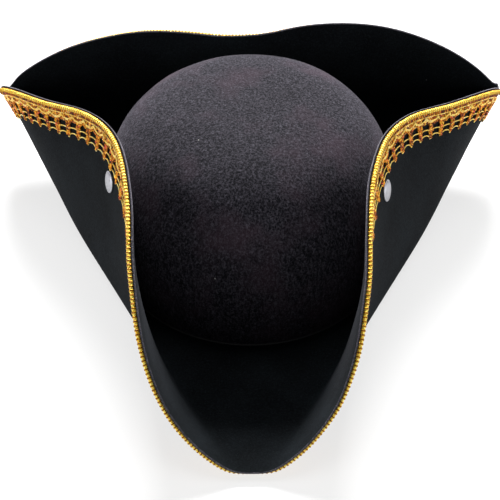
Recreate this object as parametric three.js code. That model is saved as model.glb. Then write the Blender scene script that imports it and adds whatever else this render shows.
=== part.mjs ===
// Three-cornered felt hat: a domed crown, a round brim folded up on three sides and edged with
// gold lace, and three press studs that hold the folds against the crown.
// Millimetres, +Z up, the front peak along -Y. Left and right are as seen from the front, so right is +X.
import * as THREE from 'three';

const { smoothstep, degToRad } = THREE.MathUtils;

// Felt
const feltThickness = 2.2;
const touchGap = 0.3;

// Crown: an oval dome whose wall stands out a little beyond its foot
const crownHalfWidth = 90.5;
const crownHalfLength = 100;
const crownHeight = 116;
const crownSquareness = 4;
const crownBulge = 0.07;

// Brim, as a nearly round disc before it is folded. Each wave is how often it comes round the edge, and
// what it adds to the radius. The front peak and the two rear corners also lift a little.
const brimRadius = 214.6;
const brimSetBack = 6.9;
const brimWaves = [[2, 2.5], [3, -2], [6, 2.5]];
const peakRise = 3.5;
const peakRiseStart = 32;
const cornerRise = 88;
const cornerRiseStart = 0.07;
const cornerRiseBlend = { aside: 0.05, behind: 0.12 };
const cornerRiseFull = 1.6;

// Folds. facing: where the fold looks, in degrees round from +X. standOff: from below the crown's widest
// place to the start of the bend, and less than 0 where that is under the bulge. bend: felt used up in the
// bend. lean: how far the felt turns. ease: share of the lean lost at foldSpan from the fullest place, which
// is shift along the fold. curl: more lean for each mm above.
const foldSpan = 161;
const folds = {
  right: { facing: -26, standOff: -3.5, bend: 14, lean: 90.2, ease: 0.35, shift: 20, curl: 0.167 },
  back: { facing: 87.5, standOff: -3.6, bend: 32, lean: 100, ease: -0.13, shift: -26.5, curl: 0.12 },
  left: { facing: 206, standOff: -5.5, bend: 14, lean: 88.2, ease: 0.35, shift: -20, curl: 0.167 },
};

// Flaps, between two directions seen from the brim's centre, each turning about the line that joins
// the edge of the felt in those directions. crest is the direction in which the flap is highest.
const flaps = {
  right: { fold: folds.right, from: -76, to: 31, crest: -14 },
  back: { fold: folds.back, from: 31, to: 149, crest: 90 },
  left: { fold: folds.left, from: 149, to: 256, crest: 194 },
};
const hingeGap = 3.5;
const shortestFlap = 7;

// Gold lace on the outside of the folds. laceReach is how far round the corner pieces go, in degrees.
const laceWidth = 20;
const laceThickness = 1.2;
const laceInset = 1.5;
const laceGap = 1;
const laceReach = 20;

// Sweatband
const sweatbandHeight = 30;
const sweatbandThickness = 1.2;

// Press studs
const capRadius = 7;
const capHeight = 2.2;
const socketRadius = 5;
const socketHeight = 1.8;
const recessRadius = 3;
const recessDepth = 1.1;
const studRadius = 4.5;
const studBase = 0.9;
const knobRadius = 1.6;
const knobHeight = 0.9;
const postRadius = 5;
const postHeight = 1.2;
const studAir = 0.4;
const studGap = 0.4;
const capGap = 0.5;
const postGap = 1;
const capFromLace = 1;
const studDirections = { right: -30, back: 90, left: 208 };

// Finishes
const finishes = {
  felt: { color: 0x17161a, roughness: 0.95, metalness: 0 },
  lace: { color: 0xd99a1c, roughness: 0.45, metalness: 0.6 },
  ribbon: { color: 0x101012, roughness: 0.8, metalness: 0 },
  steel: { color: 0xc9cad0, roughness: 0.3, metalness: 1 },
};

const hat = new THREE.Group();

function addMesh(name, geometry, finish) {
  const mesh = new THREE.Mesh(geometry, new THREE.MeshStandardMaterial(finishes[finish]));
  mesh.name = name;
  hat.add(mesh);
  return mesh;
}

// How far the crown's widest place stands out, as a share of its foot
const crownSpread = Math.max(...spread(0, 1, 0.02).map((share) => crownPoint(0, share).x)) / crownHalfWidth;

// The start of a fold: its outward direction, the direction along it, and its distance from the brim's centre
function foldLine({ facing, standOff }) {
  const outward = new THREE.Vector2(1, 0).rotateAround(new THREE.Vector2(), degToRad(facing));
  const along = new THREE.Vector2(-outward.y, outward.x);
  const crownReach = crownSpread * Math.hypot(crownHalfWidth * outward.x, crownHalfLength * outward.y);
  return { outward, along, reach: crownReach - brimSetBack * outward.y + standOff };
}

const foldLines = new Map(Object.values(folds).map((fold) => [fold, foldLine(fold)]));

// Where a strip of felt ends, out and up from the start of a fold, when length of it has passed that start
function foldedStrip(length, fold, lean) {
  const bendSteps = 14;
  const flatSteps = 8;
  const bendStep = Math.min(length, fold.bend) / bendSteps;
  const flatStep = Math.max(length - fold.bend, 0) / flatSteps;
  let out = 0;
  let up = 0;
  for (let i = 0; i < bendSteps; i++) {
    const turn = lean * smoothstep((i + 0.5) * bendStep, 0, fold.bend);
    out += bendStep * Math.cos(turn);
    up += bendStep * Math.sin(turn);
  }
  for (let i = 0; i < flatSteps; i++) {
    const turn = lean + degToRad(fold.curl) * (i + 0.5) * flatStep;
    out += flatStep * Math.cos(turn);
    up += flatStep * Math.sin(turn);
  }
  return { out, up };
}

// Like a value cut off below nought, but setting in gently over about its blend
const setIn = (value, blend) => (value + Math.hypot(value, blend)) / 2;

// The middle of the felt, for a point (x, y) of the disc before it is folded
function feltPoint(x, y) {
  const point = new THREE.Vector3(x, y, 0);
  for (const fold of Object.values(folds)) {
    const { outward, along, reach } = foldLines.get(fold);
    const past = x * outward.x + (y - brimSetBack) * outward.y - reach;
    if (past <= 0) continue;
    const aside = x * along.x + (y - brimSetBack) * along.y - fold.shift;
    const lean = degToRad(fold.lean) * (1 - fold.ease * (aside / foldSpan) ** 2);
    const strip = foldedStrip(past, fold, lean);
    point.x += outward.x * (strip.out - past);
    point.y += outward.y * (strip.out - past);
    point.z += strip.up;
  }
  const wide = setIn(Math.abs(x) / brimRadius - cornerRiseStart, cornerRiseBlend.aside);
  const behind = setIn(y / brimRadius, cornerRiseBlend.behind);
  const clear = smoothstep(Math.hypot(x / crownHalfWidth, y / crownHalfLength), 1, cornerRiseFull);
  const ahead = smoothstep(-y, crownHalfLength + peakRiseStart, brimRadius);
  point.z += cornerRise * wide * behind * clear;
  point.z += peakRise * ahead * smoothstep(brimRadius / 2 - Math.abs(x), 0, brimRadius / 2);
  return point;
}

function feltNormal(x, y) {
  const step = 0.5;
  const acrossX = feltPoint(x + step, y).sub(feltPoint(x - step, y));
  const acrossY = feltPoint(x, y + step).sub(feltPoint(x, y - step));
  return acrossX.cross(acrossY).normalize();
}

// The disc in polar form, about the brim's centre, in degrees
function flatPoint(direction, radius) {
  const angle = degToRad(direction);
  return [radius * Math.cos(angle), brimSetBack + radius * Math.sin(angle)];
}

function edgeRadius(direction) {
  const fromFront = degToRad(direction + 90);
  return brimWaves.reduce((sum, [times, height]) => sum + height * Math.cos(times * fromFront), brimRadius);
}

function holeRadius(direction) {
  const halfWidth = crownHalfWidth - feltThickness;
  const halfLength = crownHalfLength - feltThickness;
  const angle = degToRad(direction);
  const a = (Math.cos(angle) / halfWidth) ** 2 + (Math.sin(angle) / halfLength) ** 2;
  const b = (brimSetBack * Math.sin(angle)) / halfLength ** 2;
  const c = (brimSetBack / halfLength) ** 2 - 1;
  return (Math.sqrt(b * b - a * c) - b) / a;
}

const feltAt = (direction, radius) => feltPoint(...flatPoint(direction, radius));
const normalAt = (direction, radius) => feltNormal(...flatPoint(direction, radius));
const edgeAt = (direction) => feltAt(direction, edgeRadius(direction));

// Where a press stud goes: its line, which is half way between square to the crown and square to the flap,
// the foot of its stud on the crown, and the height left for the stud's base. The pieces stand off the felt
// by as much more as their rims need where the line isn't square to it.
function studPlace(side) {
  const direction = studDirections[side];
  const radius = edgeRadius(direction) - laceInset - laceWidth - capFromLace - capRadius;
  const onFlap = feltAt(direction, radius);
  const outOfFlap = normalAt(direction, radius).negate();
  const { angle, share } = nearestOnCrown(onFlap);
  const onCrown = crownPoint(angle, share);
  const outOfCrown = crownNormal(angle, share);
  const line = outOfCrown.clone().add(outOfFlap).normalize();
  const tilt = line.angleTo(outOfFlap);
  const foot = onCrown.clone().addScaledVector(outOfCrown, studGap + studRadius * Math.sin(tilt));
  const socketOff = feltThickness / 2 + studGap + socketRadius * Math.sin(tilt);
  const room = (onFlap.clone().sub(foot).dot(outOfFlap) - socketOff) / Math.cos(tilt);
  return { onFlap, outOfFlap, onCrown, outOfCrown, line, foot, baseHeight: room - socketHeight - studAir };
}

// A fold that leaves its press stud too little height starts further out
for (const [side, { fold }] of Object.entries(flaps)) {
  for (let tries = 0; tries < 8; tries++) {
    foldLines.get(fold).reach += Math.max(studBase - studPlace(side).baseHeight, 0);
  }
}

// The line each flap turns about, and the way up the flap from it
for (const flap of Object.values(flaps)) {
  const start = edgeAt(flap.from);
  flap.start = start;
  flap.axis = edgeAt(flap.to).sub(start).normalize();
  flap.up = edgeAt(flap.crest).sub(start);
  flap.up.addScaledVector(flap.axis, -flap.up.dot(flap.axis)).normalize();
}

function flapAt(direction) {
  const within = THREE.MathUtils.euclideanModulo(direction - flaps.right.from, 360) + flaps.right.from;
  return Object.values(flaps).find((flap) => within >= flap.from && within < flap.to);
}

// The radius at which the felt, followed outwards, reaches a height above its flap's hinge line
function radiusAtHeight(direction, height) {
  const flap = flapAt(direction);
  const edge = edgeRadius(direction);
  const above = (radius) => feltAt(direction, radius).sub(flap.start).dot(flap.up) > height;
  if (!flap || !above(edge)) return edge;
  let low = holeRadius(direction);
  let high = edge;
  for (let i = 0; i < 24; i++) {
    const middle = (low + high) / 2;
    if (above(middle)) high = middle;
    else low = middle;
  }
  return high;
}

const baseRadius = (direction) => radiusAtHeight(direction, -hingeGap);
const flapRadius = (direction) => radiusAtHeight(direction, hingeGap);

// A closed solid between two like grids of points, as columns of rows, open or running right round
function closedShell(front, back, runsRound) {
  const columns = front.length;
  const rows = front[0].length;
  const positions = [...front.flat(), ...back.flat()].flatMap((point) => point.toArray());
  const index = (side, column, row) => (side * columns + (column % columns)) * rows + row;
  const triangles = [];
  const quad = (a, b, c, d) => triangles.push(a, b, c, a, c, d);
  const lastColumn = runsRound ? columns : columns - 1;
  for (let i = 0; i < lastColumn; i++) {
    for (let j = 0; j < rows - 1; j++) {
      quad(index(0, i, j), index(0, i, j + 1), index(0, i + 1, j + 1), index(0, i + 1, j));
      quad(index(1, i, j), index(1, i + 1, j), index(1, i + 1, j + 1), index(1, i, j + 1));
    }
    quad(index(0, i, 0), index(0, i + 1, 0), index(1, i + 1, 0), index(1, i, 0));
    const top = rows - 1;
    quad(index(0, i + 1, top), index(0, i, top), index(1, i, top), index(1, i + 1, top));
  }
  for (let j = 0; !runsRound && j < rows - 1; j++) {
    const end = columns - 1;
    quad(index(0, 0, j + 1), index(0, 0, j), index(1, 0, j), index(1, 0, j + 1));
    quad(index(0, end, j), index(0, end, j + 1), index(1, end, j + 1), index(1, end, j));
  }
  const geometry = new THREE.BufferGeometry();
  geometry.setAttribute('position', new THREE.Float32BufferAttribute(positions, 3));
  geometry.setIndex(triangles);
  geometry.computeVertexNormals();
  return geometry;
}

// Felt or lace that follows the folded brim: directions give the columns, inner and outer radii the rows
function brimSheet({ directions, rows, inner, outer, thickness, offset, runsRound = false }) {
  const grid = (side) => directions.map((direction) => Array.from({ length: rows + 1 }, (_, row) => {
    const radius = THREE.MathUtils.lerp(inner(direction), outer(direction), row / rows);
    return feltAt(direction, radius).addScaledVector(normalAt(direction, radius), side);
  }));
  return closedShell(grid(offset + thickness / 2), grid(offset - thickness / 2), runsRound);
}

function spread(from, to, step) {
  const count = Math.max(Math.round((to - from) / step), 1);
  return Array.from({ length: count + 1 }, (_, i) => THREE.MathUtils.lerp(from, to, i / count));
}

// The directions between which a flap stands high enough above its hinge line
function flapSpan(flap, least) {
  const tall = spread(flap.from, flap.to, 0.5).filter(
    (direction) => flapAt(direction) === flap && edgeRadius(direction) - flapRadius(direction) > least);
  return [tall[0], tall[tall.length - 1]];
}

const columnStep = 4;
const around = spread(flaps.right.from, flaps.right.from + 360, columnStep).slice(0, -1);

function makeBrim() {
  addMesh('brim', brimSheet({ directions: around, rows: 12, inner: holeRadius, outer: baseRadius,
    thickness: feltThickness, offset: 0, runsRound: true }), 'felt');
  for (const [side, flap] of Object.entries(flaps)) {
    addMesh(`${side}_flap`, brimSheet({ directions: spread(...flapSpan(flap, shortestFlap), columnStep), rows: 5,
      inner: flapRadius, outer: edgeRadius, thickness: feltThickness, offset: 0 }), 'felt');
  }
}

// Lace lies on the underside of the brim, which becomes the outside of the folds
function makeLace() {
  const offset = -(feltThickness + laceThickness) / 2 - laceGap;
  const laceOuter = (direction) => edgeRadius(direction) - laceInset;
  const laceInner = (direction) => laceOuter(direction) - laceWidth;
  const strip = (name, directions, inner, outer) => addMesh(name, brimSheet({ directions, rows: 4, inner,
    outer, thickness: laceThickness, offset }), 'lace');
  const onFlap = (direction) => Math.max(laceInner(direction), flapRadius(direction));
  const onBase = (direction) => Math.min(laceOuter(direction), baseRadius(direction) - laceInset);
  for (const [side, flap] of Object.entries(flaps)) {
    strip(`${side}_lace`, spread(...flapSpan(flap, shortestFlap), 3), onFlap, laceOuter);
  }
  const places = { front_lace: 270, right_corner_lace: flaps.right.to, left_corner_lace: flaps.back.to };
  for (const [name, middle] of Object.entries(places)) {
    const near = around.filter((direction) => Math.abs(direction - middle) < laceReach
      && onBase(direction) - laceInner(direction) > laceWidth / 4);
    strip(name, near, laceInner, onBase);
  }
}

// The outside of the crown: angle in radians round from +X, share from 0 at the foot to 1 at the top
function crownPoint(angle, share) {
  const turn = (Math.PI / 2) * smoothstep(share, 0, 1);
  const height = Math.sin(turn) ** (2 / crownSquareness);
  const spreadOut = 1 + crownBulge * Math.sin(Math.PI * height ** 0.8);
  const radius = Math.max(Math.cos(turn), 0) ** (2 / crownSquareness) * spreadOut;
  return new THREE.Vector3(crownHalfWidth * radius * Math.cos(angle),
    crownHalfLength * radius * Math.sin(angle), feltThickness / 2 + touchGap + crownHeight * height);
}

function crownNormal(angle, share) {
  const step = 0.01;
  if (share > 1 - step) return new THREE.Vector3(0, 0, 1);
  const low = Math.max(share - step, 0);
  const upward = crownPoint(angle, share + step).sub(crownPoint(angle, low));
  const round = crownPoint(angle + step, share).sub(crownPoint(angle - step, share));
  return round.cross(upward).normalize();
}

function makeCrown() {
  const columns = 40;
  const rows = 12;
  const grid = (inward) => Array.from({ length: columns }, (_, column) => {
    const angle = (2 * Math.PI * column) / columns;
    return Array.from({ length: rows + 1 }, (__, row) => {
      const point = crownPoint(angle, row / rows);
      if (!inward) return point;
      const foot = point.z;
      point.addScaledVector(crownNormal(angle, row / rows), -feltThickness);
      if (row === 0) point.z = foot;
      return point;
    });
  });
  addMesh('crown', closedShell(grid(true), grid(false), true), 'felt');
}

function makeSweatband() {
  const columns = 40;
  const inset = feltThickness + touchGap * 2;
  const ring = (inward) => Array.from({ length: columns }, (_, column) => {
    const angle = (2 * Math.PI * column) / columns;
    const x = (crownHalfWidth - inset - inward) * Math.cos(angle);
    const y = (crownHalfLength - inset - inward) * Math.sin(angle);
    return [0, sweatbandHeight].map((height) => new THREE.Vector3(x, y, height));
  });
  addMesh('sweatband', closedShell(ring(sweatbandThickness), ring(0), true), 'ribbon');
}

// The place on the crown's outside that lies nearest to a point, found by narrowing a search
function nearestOnCrown(point) {
  let best = { angle: Math.atan2(point.y, point.x), share: 0.5 };
  const distance = ({ angle, share }) => crownPoint(angle, share).distanceTo(point);
  for (let step = 0.2; step > 0.0005; step /= 2) {
    for (let tries = 0; tries < 8; tries++) {
      const moves = [[0, 0], [step, 0], [-step, 0], [0, step], [0, -step]].map(([turn, climb]) => (
        { angle: best.angle + turn, share: THREE.MathUtils.clamp(best.share + climb, 0, 0.95) }));
      best = moves.reduce((a, b) => (distance(b) < distance(a) ? b : a));
    }
  }
  return best;
}

// A turned piece whose own axis leaves its base along direction
function turned(name, profile, base, direction, finish = 'steel') {
  const sides = 20;
  const outline = profile.map(([radius, height]) => new THREE.Vector2(radius, height));
  const mesh = addMesh(name, new THREE.LatheGeometry(outline, sides), finish);
  mesh.position.copy(base);
  mesh.quaternion.setFromUnitVectors(new THREE.Vector3(0, 1, 0), direction);
}

// The four pieces of a press stud: cap and socket on the flap, stud and post on the crown
function makePressStud(side) {
  const { onFlap, outOfFlap, onCrown, outOfCrown, line, foot, baseHeight } = studPlace(side);
  const intoCrown = outOfCrown.clone().negate();
  turned(`${side}_snap_cap`, [[0, 0], [capRadius, 0], [capRadius, capHeight * 0.35],
    [capRadius * 0.75, capHeight * 0.8], [capRadius * 0.4, capHeight], [0, capHeight]],
  onFlap.clone().addScaledVector(outOfFlap, feltThickness / 2 + capGap), outOfFlap);
  turned(`${side}_snap_socket`, [[0, 0], [socketRadius, 0], [socketRadius, socketHeight],
    [recessRadius, socketHeight], [recessRadius, socketHeight - recessDepth],
    [0, socketHeight - recessDepth]],
  foot.clone().addScaledVector(line, baseHeight + studAir + socketHeight), line.clone().negate());
  turned(`${side}_snap_stud`, [[0, 0], [studRadius, 0], [studRadius, baseHeight], [knobRadius, baseHeight],
    [knobRadius, baseHeight + knobHeight], [0, baseHeight + knobHeight]], foot, line);
  turned(`${side}_snap_post`, [[0, 0], [postRadius, 0], [postRadius, postHeight / 2],
    [postRadius * 0.6, postHeight], [0, postHeight]],
  onCrown.clone().addScaledVector(intoCrown, feltThickness + postGap), intoCrown);
}

makeCrown();
makeBrim();
makeLace();
makeSweatband();
Object.keys(flaps).forEach(makePressStud);

// The hat stands on the plane z = 0, centred over the origin; each flap's hinge is kept with the group
const bounds = new THREE.Box3().setFromObject(hat);
const centre = bounds.getCenter(new THREE.Vector3());
hat.children.forEach((mesh) => mesh.position.sub(new THREE.Vector3(centre.x, centre.y, bounds.min.z)));
for (const [side, flap] of Object.entries(flaps)) {
  hat.userData[`${side}_hinge`] = {
    point: flap.start.clone().sub(new THREE.Vector3(centre.x, centre.y, bounds.min.z)),
    axis: flap.axis,
  };
}

export default hat;
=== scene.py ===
# Three-cornered felt hat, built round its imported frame: blocked crown, folded brim, gold lace,
# ribbon sweatband and press studs. Metres and degrees, +Z up, the front peak along -Y.
import math

import bpy
import numpy as np
from mathutils import Matrix, Vector


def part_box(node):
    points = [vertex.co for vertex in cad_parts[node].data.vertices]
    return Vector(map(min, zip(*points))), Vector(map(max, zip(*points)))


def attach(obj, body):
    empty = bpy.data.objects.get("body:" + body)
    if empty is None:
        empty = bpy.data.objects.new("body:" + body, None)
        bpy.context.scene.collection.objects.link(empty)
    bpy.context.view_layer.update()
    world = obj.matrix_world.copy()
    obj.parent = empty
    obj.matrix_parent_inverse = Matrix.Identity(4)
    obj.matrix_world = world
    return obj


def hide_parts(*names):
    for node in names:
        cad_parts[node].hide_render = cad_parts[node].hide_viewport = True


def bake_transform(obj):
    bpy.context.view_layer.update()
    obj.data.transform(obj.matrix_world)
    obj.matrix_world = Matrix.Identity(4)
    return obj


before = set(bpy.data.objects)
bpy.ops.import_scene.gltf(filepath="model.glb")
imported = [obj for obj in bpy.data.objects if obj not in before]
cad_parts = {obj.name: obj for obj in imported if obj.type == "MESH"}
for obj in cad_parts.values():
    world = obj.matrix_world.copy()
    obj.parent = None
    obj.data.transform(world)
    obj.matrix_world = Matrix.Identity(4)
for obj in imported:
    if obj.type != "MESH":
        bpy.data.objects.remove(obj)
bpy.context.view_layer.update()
mm = 0.001
sides = ("right", "back", "left")
rng = np.random.default_rng(11)

felt = {"thickness": 2.2 * mm, "ripple": 0.55 * mm, "rippleFrom": 6 * mm, "rippleFull": 40 * mm,
        "rippleOnCrown": 0.8}
crown = {"halfWidth": 90.5 * mm, "halfLength": 100 * mm, "height": 116 * mm, "squareness": 4.0,
         "bulge": 0.07, "bulgeShape": 0.8, "columns": 200, "rows": 84,
         "blank": (0.30, 0.32), "blankArea": 0.0754}
brim = {"radius": 214.6 * mm, "setBack": 6.9 * mm, "waves": ((2, 2.5 * mm), (3, -2 * mm), (6, 2.5 * mm)),
        "peakRise": 3.5 * mm, "peakRiseStart": 32 * mm, "cornerRise": 88 * mm, "cornerRiseStart": 0.07,
        "cornerRiseFull": 1.6, "asideBlend": 0.05, "behindBlend": 0.12, "foldSpan": 161 * mm,
        "edgeThickness": 1.5 * mm, "thinOver": 6 * mm, "step": 0.65, "rows": 74, "edgePoints": 5}
folds = {
    "right": {"facing": -26, "standOff": -3.5 * mm, "bend": 14 * mm, "lean": 90.2, "ease": 0.35,
              "shift": 20 * mm, "curl": 0.167 / mm},
    "back": {"facing": 87.5, "standOff": -3.6 * mm, "bend": 32 * mm, "lean": 100, "ease": -0.13,
             "shift": -26.5 * mm, "curl": 0.12 / mm},
    "left": {"facing": 206, "standOff": -5.5 * mm, "bend": 14 * mm, "lean": 88.2, "ease": 0.35,
             "shift": -20 * mm, "curl": 0.167 / mm},
}
# Each sector of the brim runs between two directions; its flap's hinge line joins the edge at
# hingeFrom and hingeTo, and crest is the direction in which the flap is highest.
sectors = {
    "right": {"from": -90, "to": 31, "hingeFrom": -76, "hingeTo": 31, "crest": -14},
    "back": {"from": 31, "to": 149, "hingeFrom": 31, "hingeTo": 149, "crest": 90},
    "left": {"from": 149, "to": 270, "hingeFrom": 149, "hingeTo": 256, "crest": 194},
}

low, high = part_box("crown")
hatCentre = Vector(((low.x + high.x) / 2, (low.y + high.y) / 2, felt["thickness"] / 2))


def smoothStep(value, start, end):
    share = np.clip((value - start) / (end - start), 0, 1)
    return share * share * (3 - 2 * share)


def setIn(value, blend):
    # like a value cut off below nought, but setting in gently
    return (value + np.hypot(value, blend)) / 2


def crownPoint(angle, share):
    # share runs from 0 at the foot of the crown to 1 at its top
    turn = np.pi / 2 * smoothStep(share, 0, 1)
    height = np.sin(turn) ** (2 / crown["squareness"])
    spread = 1 + crown["bulge"] * np.sin(np.pi * height ** crown["bulgeShape"])
    radius = np.maximum(np.cos(turn), 0) ** (2 / crown["squareness"]) * spread
    x = crown["halfWidth"] * radius * np.cos(angle) + hatCentre.x
    y = crown["halfLength"] * radius * np.sin(angle) + hatCentre.y
    z = crown["height"] * height + hatCentre.z + felt["thickness"] / 2
    return np.stack(np.broadcast_arrays(x, y, z), axis=-1)


profile = crownPoint(0.0, np.linspace(0, 1, 51))
crownSpread = (profile[:, 0].max() - hatCentre.x) / crown["halfWidth"]  # its widest part, in halfWidths


def foldLine(fold):
    facing = math.radians(fold["facing"])
    outward = (math.cos(facing), math.sin(facing))
    crownReach = crownSpread * math.hypot(crown["halfWidth"] * outward[0], crown["halfLength"] * outward[1])
    return outward, crownReach - brim["setBack"] * outward[1] + fold["standOff"]


def foldedStrip(length, fold, lean):
    # how far out and up a strip ends when length of it has passed the start of a fold
    bendSteps, flatSteps = 14, 8
    bendStep = np.minimum(length, fold["bend"]) / bendSteps
    flatStep = np.maximum(length - fold["bend"], 0) / flatSteps
    out = up = 0.0
    for i in range(bendSteps):
        turn = lean * smoothStep((i + 0.5) * bendStep, 0, fold["bend"])
        out = out + bendStep * np.cos(turn)
        up = up + bendStep * np.sin(turn)
    for i in range(flatSteps):
        turn = lean + np.radians(fold["curl"] * (i + 0.5) * flatStep)
        out = out + flatStep * np.cos(turn)
        up = up + flatStep * np.sin(turn)
    return out, up


def foldedFelt(x, y):
    # the middle of the felt, for a point of the flat disc
    shown = [x, y, np.zeros_like(x)]
    for fold in folds.values():
        outward, reach = foldLine(fold)
        back = y - brim["setBack"]
        past = np.maximum(x * outward[0] + back * outward[1] - reach, 0)
        aside = back * outward[0] - x * outward[1] - fold["shift"]
        lean = np.radians(fold["lean"]) * (1 - fold["ease"] * (aside / brim["foldSpan"]) ** 2)
        out, up = foldedStrip(past, fold, lean)
        shown[0] = shown[0] + outward[0] * (out - past)
        shown[1] = shown[1] + outward[1] * (out - past)
        shown[2] = shown[2] + up
    wide = setIn(np.abs(x) / brim["radius"] - brim["cornerRiseStart"], brim["asideBlend"])
    behind = setIn(y / brim["radius"], brim["behindBlend"])
    clear = smoothStep(np.hypot(x / crown["halfWidth"], y / crown["halfLength"]), 1, brim["cornerRiseFull"])
    ahead = smoothStep(-y, crown["halfLength"] + brim["peakRiseStart"], brim["radius"])
    shown[2] = shown[2] + brim["cornerRise"] * wide * behind * clear
    shown[2] = shown[2] + brim["peakRise"] * ahead * smoothStep(brim["radius"] / 2 - np.abs(x), 0,
                                                               brim["radius"] / 2)
    return np.stack(shown, axis=-1) + np.array(hatCentre)


def unit(vectors):
    return vectors / np.maximum(np.linalg.norm(vectors, axis=-1, keepdims=True), 1e-12)


def ripple(points):
    # the slight unevenness of hand-folded felt, none where it lies flat: three crossing waves, in mm
    x, y, z = (points[..., i] / mm for i in range(3))
    wave = (np.sin(x / 17 + 1.3 * np.sin(y / 31)) + np.sin(y / 14 + z / 23 + 0.7)
            + 0.6 * np.sin((x + y) / 9 + z / 11)) / 2.6
    rise = smoothStep(points[..., 2], felt["rippleFrom"], felt["rippleFull"])
    return felt["ripple"] * wave * rise


def feltAt(direction, radius):
    # the felt's middle, its upper normal and the way out to its edge, for polar places on the flat disc
    direction, radius = np.broadcast_arrays(np.radians(direction), radius)
    outX, outY = np.cos(direction), np.sin(direction)
    x, y = radius * outX, radius * outY + brim["setBack"]
    step = 0.4 * mm
    outward = unit(foldedFelt(x + step * outX, y + step * outY)
                   - foldedFelt(x - step * outX, y - step * outY))
    sideways = unit(foldedFelt(x - step * outY, y + step * outX)
                    - foldedFelt(x + step * outY, y - step * outX))
    normal = unit(np.cross(outward, sideways))
    middle = foldedFelt(x, y)
    return middle + normal * ripple(middle)[..., None], normal, outward


def edgeRadius(direction):
    fromFront = np.radians(np.asarray(direction, float) + 90)
    return brim["radius"] + sum(height * np.cos(times * fromFront) for times, height in brim["waves"])


def holeRadius(direction):
    # how far the inside of the crown's foot is in each direction, from the middle of the flat disc
    halfWidth, halfLength = crown["halfWidth"] - felt["thickness"], crown["halfLength"] - felt["thickness"]
    angle = np.radians(direction)
    a = (np.cos(angle) / halfWidth) ** 2 + (np.sin(angle) / halfLength) ** 2
    b = brim["setBack"] * np.sin(angle) / halfLength ** 2
    c = (brim["setBack"] / halfLength) ** 2 - 1
    return (np.sqrt(b * b - a * c) - b) / a


def makePiece(name, points, faces, materials, faceMaterials=None, sharp=None, uvs=None):
    mesh = bpy.data.meshes.new(name)
    mesh.from_pydata(np.asarray(points, float).reshape(-1, 3).tolist(), [], faces)
    for material in materials:
        mesh.materials.append(material)
    mesh.polygons.foreach_set("use_smooth", np.ones(len(mesh.polygons), bool))
    if faceMaterials is not None:
        mesh.polygons.foreach_set("material_index", np.asarray(faceMaterials, np.int32))
    if sharp is not None:
        ends = np.zeros(len(mesh.edges) * 2, np.int32)
        mesh.edges.foreach_get("vertices", ends)
        marked = np.isin(ends.reshape(-1, 2), sharp).all(axis=1)
        mesh.attributes.new("sharp_edge", "BOOLEAN", "EDGE").data.foreach_set("value", marked)
    if uvs is not None:
        layer = mesh.uv_layers.new(name="UVMap")
        corners = np.zeros(len(mesh.loops), np.int32)
        mesh.loops.foreach_get("vertex_index", corners)
        layer.data.foreach_set("uv", np.asarray(uvs, float).reshape(-1, 2)[corners].ravel())
    mesh.update()
    piece = bpy.data.objects.new(name, mesh)
    bpy.context.scene.collection.objects.link(piece)
    return piece


def gridFaces(columns, rows, wrapColumns=False, wrapRows=False, first=0, flip=False):
    # quads of a grid of points stored column by column
    i, j = np.meshgrid(np.arange(columns if wrapColumns else columns - 1),
                       np.arange(rows if wrapRows else rows - 1), indexing="ij")
    nextI, nextJ = (i + 1) % columns, (j + 1) % rows
    corners = [i * rows + j, nextI * rows + j, nextI * rows + nextJ, i * rows + nextJ]
    quads = np.stack(corners[::-1] if flip else corners, axis=-1).reshape(-1, 4) + first
    return quads.tolist()


class Wire:
    # a node's output socket that can be used in sums
    def __init__(self, shader, socket):
        self.shader, self.socket = shader, socket

    def maths(self, operation, *others):
        values = {i: value for i, value in enumerate((self, *others))}
        return self.shader.node("ShaderNodeMath", {"operation": operation}, values)

    def __add__(self, other):
        return self.maths("ADD", other)

    def __mul__(self, other):
        return self.maths("MULTIPLY", other)

    def __sub__(self, other):
        return self.maths("SUBTRACT", other)

    def __rsub__(self, other):
        return (self * -1) + other

    def __pow__(self, other):
        return self.maths("POWER", other)

    __radd__ = __add__
    __rmul__ = __mul__

    def between(self, start, end, fromValue=0.0, toValue=1.0):
        values = {"Value": self, "From Min": start, "From Max": end, "To Min": fromValue, "To Max": toValue}
        return self.shader.node("ShaderNodeMapRange", {"clamp": True}, values)


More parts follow.
